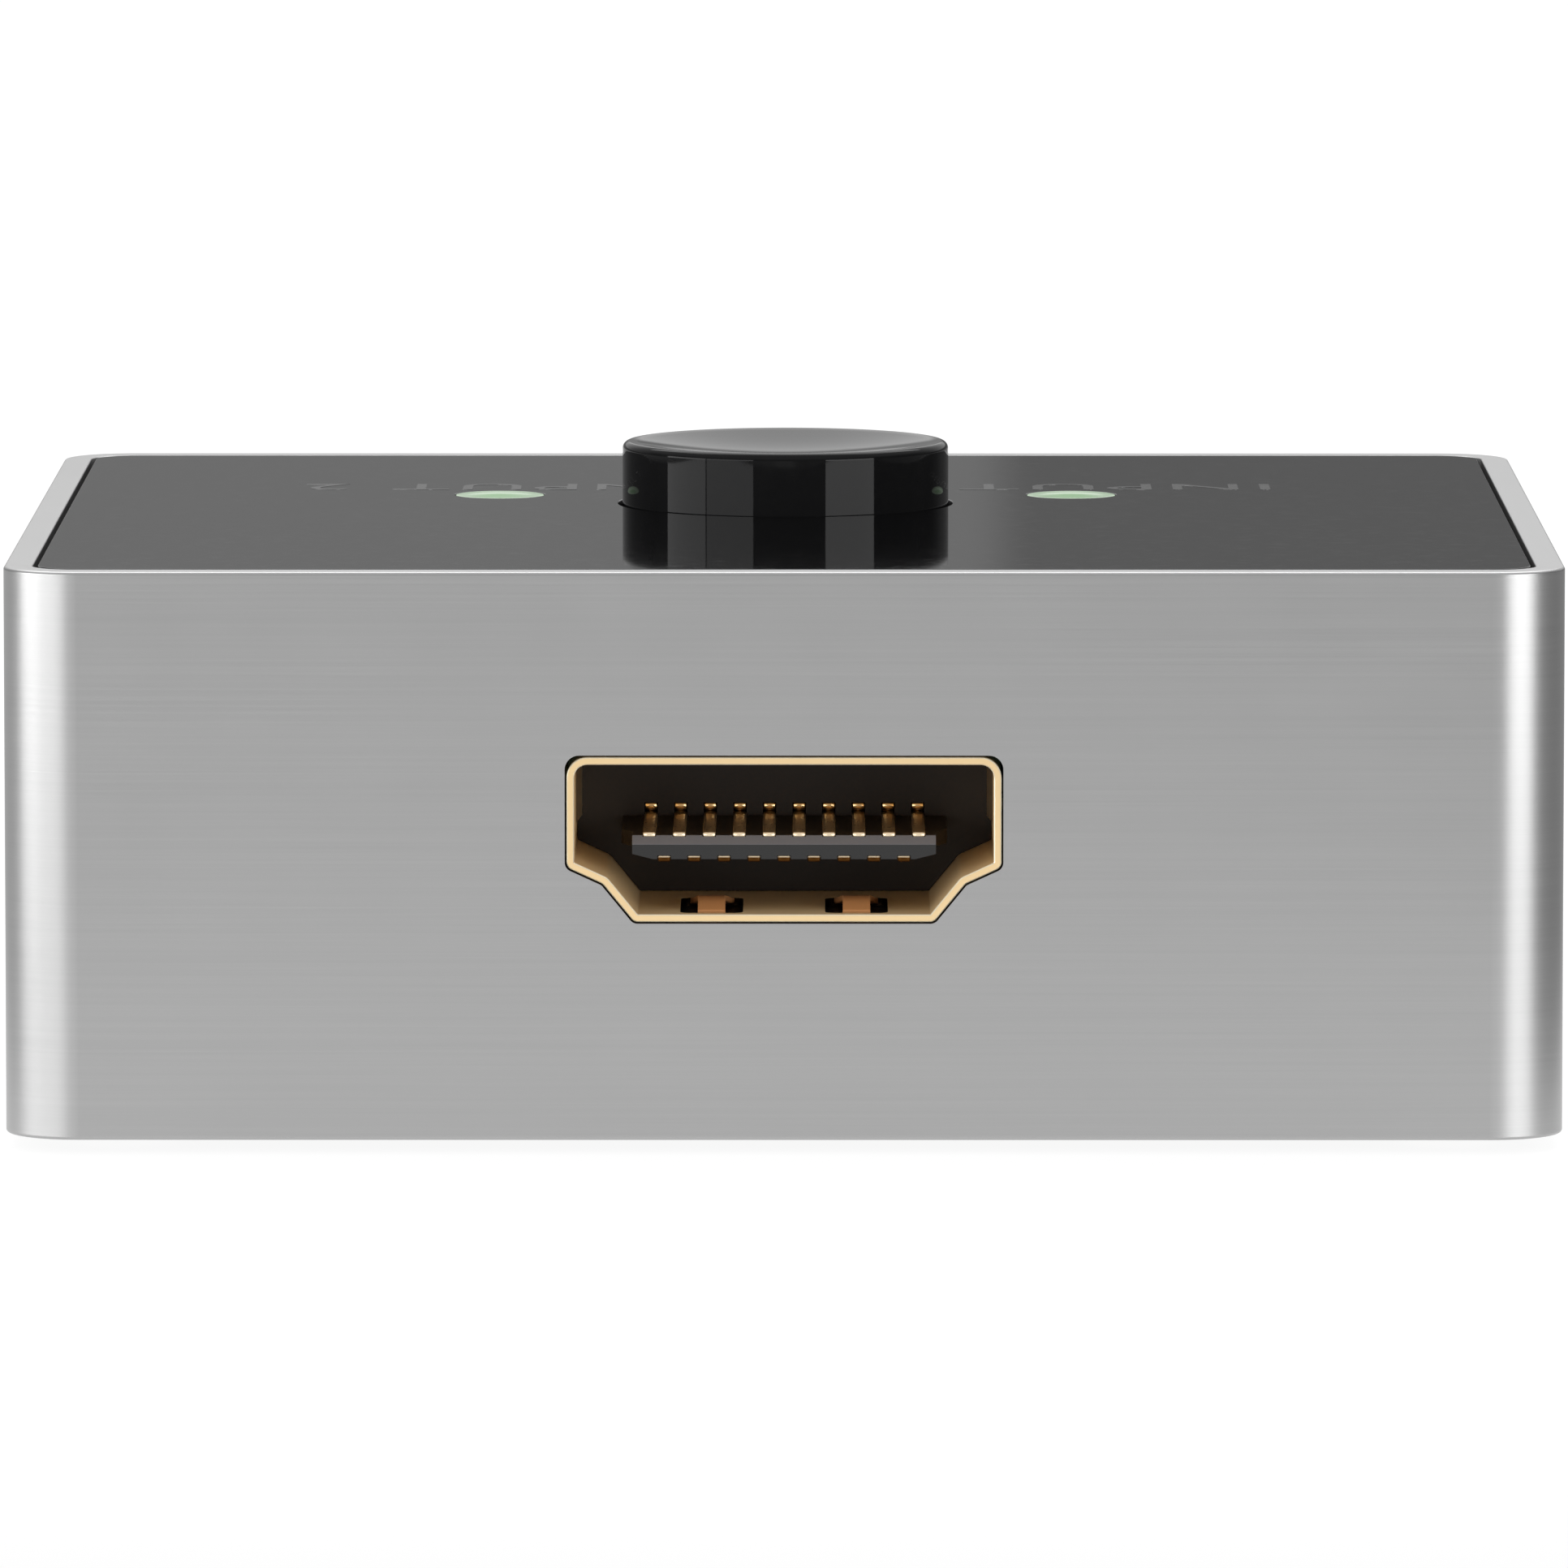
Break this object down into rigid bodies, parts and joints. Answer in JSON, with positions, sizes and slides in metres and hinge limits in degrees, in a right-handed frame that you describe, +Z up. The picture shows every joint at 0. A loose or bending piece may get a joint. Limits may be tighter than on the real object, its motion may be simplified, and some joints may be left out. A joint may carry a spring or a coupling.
{
  "type": "video selector switch",
  "caption": "Small aluminium video selector box with a gloss black top, a round dished push button, status windows, one output socket in front and input sockets behind.",
  "frame": {"origin": "centre of the footprint, on the surface that the rubber feet stand on", "axes": "+Z up, -Y out of the output socket, +Y out of the input sockets, +X to the right seen from the output side"},
  "size_m": [0.0522, 0.0474, 0.0217],
  "materials": {
    "anodised_aluminium": "fine horizontal brushing, clear anodised",
    "panel_acrylic": "polished black acrylic",
    "adhesive_film": "black double-sided film",
    "frame_plastic": "moulded black plastic",
    "plate_plastic": "fine spark-eroded black plastic",
    "screw_steel": "nickel-plated steel",
    "foot_rubber": "matt black rubber",
    "board_laminate": "black solder mask",
    "gold_plated_shell": "gold-plated formed sheet",
    "socket_moulding": "black heat-resistant moulding",
    "contact_gold": "gold-plated contacts",
    "button_plastic": "polished black plastic",
    "switch_moulding": "black moulding",
    "switch_steel": "thin stainless sheet",
    "tinned_metal": "tinned",
    "light_pipe_acrylic": "milky green-white acrylic",
    "lamp_resin": "clear resin",
    "chip_resin": "black epoxy",
    "capacitor_ceramic": "tan ceramic",
    "resistor_ceramic": "black-topped ceramic"
  },
  "bodies": {
    "root": {"base_plate": "plate_plastic", "base_screws": "screw_steel", "board_screws": "screw_steel", "capacitors": "capacitor_ceramic", "crystal_can": "switch_steel", "housing": "anodised_aluminium", "inner_frame": "frame_plastic", "input_1_insulator": "socket_moulding", "input_1_lower_contacts": "contact_gold", "input_1_shell": "gold_plated_shell", "input_1_upper_contacts": "contact_gold", "input_2_insulator": "socket_moulding", "input_2_lower_contacts": "contact_gold", "input_2_shell": "gold_plated_shell", "input_2_upper_contacts": "contact_gold", "light_pipe_1": "light_pipe_acrylic", "light_pipe_2": "light_pipe_acrylic", "main_board": "board_laminate", "output_insulator": "socket_moulding", "output_lower_contacts": "contact_gold", "output_shell": "gold_plated_shell", "output_upper_contacts": "contact_gold", "panel_adhesive": "adhesive_film", "resistors": "resistor_ceramic", "rubber_feet": "foot_rubber", "status_lamps": "lamp_resin", "surge_arrays": "chip_resin", "switch_base": "switch_moulding", "switch_chip": "chip_resin", "switch_cover": "switch_steel", "switch_dome": "switch_steel", "switch_leads": "tinned_metal", "top_panel": "panel_acrylic"},
    "button": {"button_cap": "button_plastic", "switch_plunger": "switch_moulding"}
  },
  "joints": [
    {"name": "select_button", "type": "slide", "parent": "root", "child": "button", "axis": [0, 0, -1], "range_m": [0, 0.0003], "stiffness_N_per_m": 5000, "springref_m": -0.0002, "deforming": ["switch_dome"]}
  ]
}
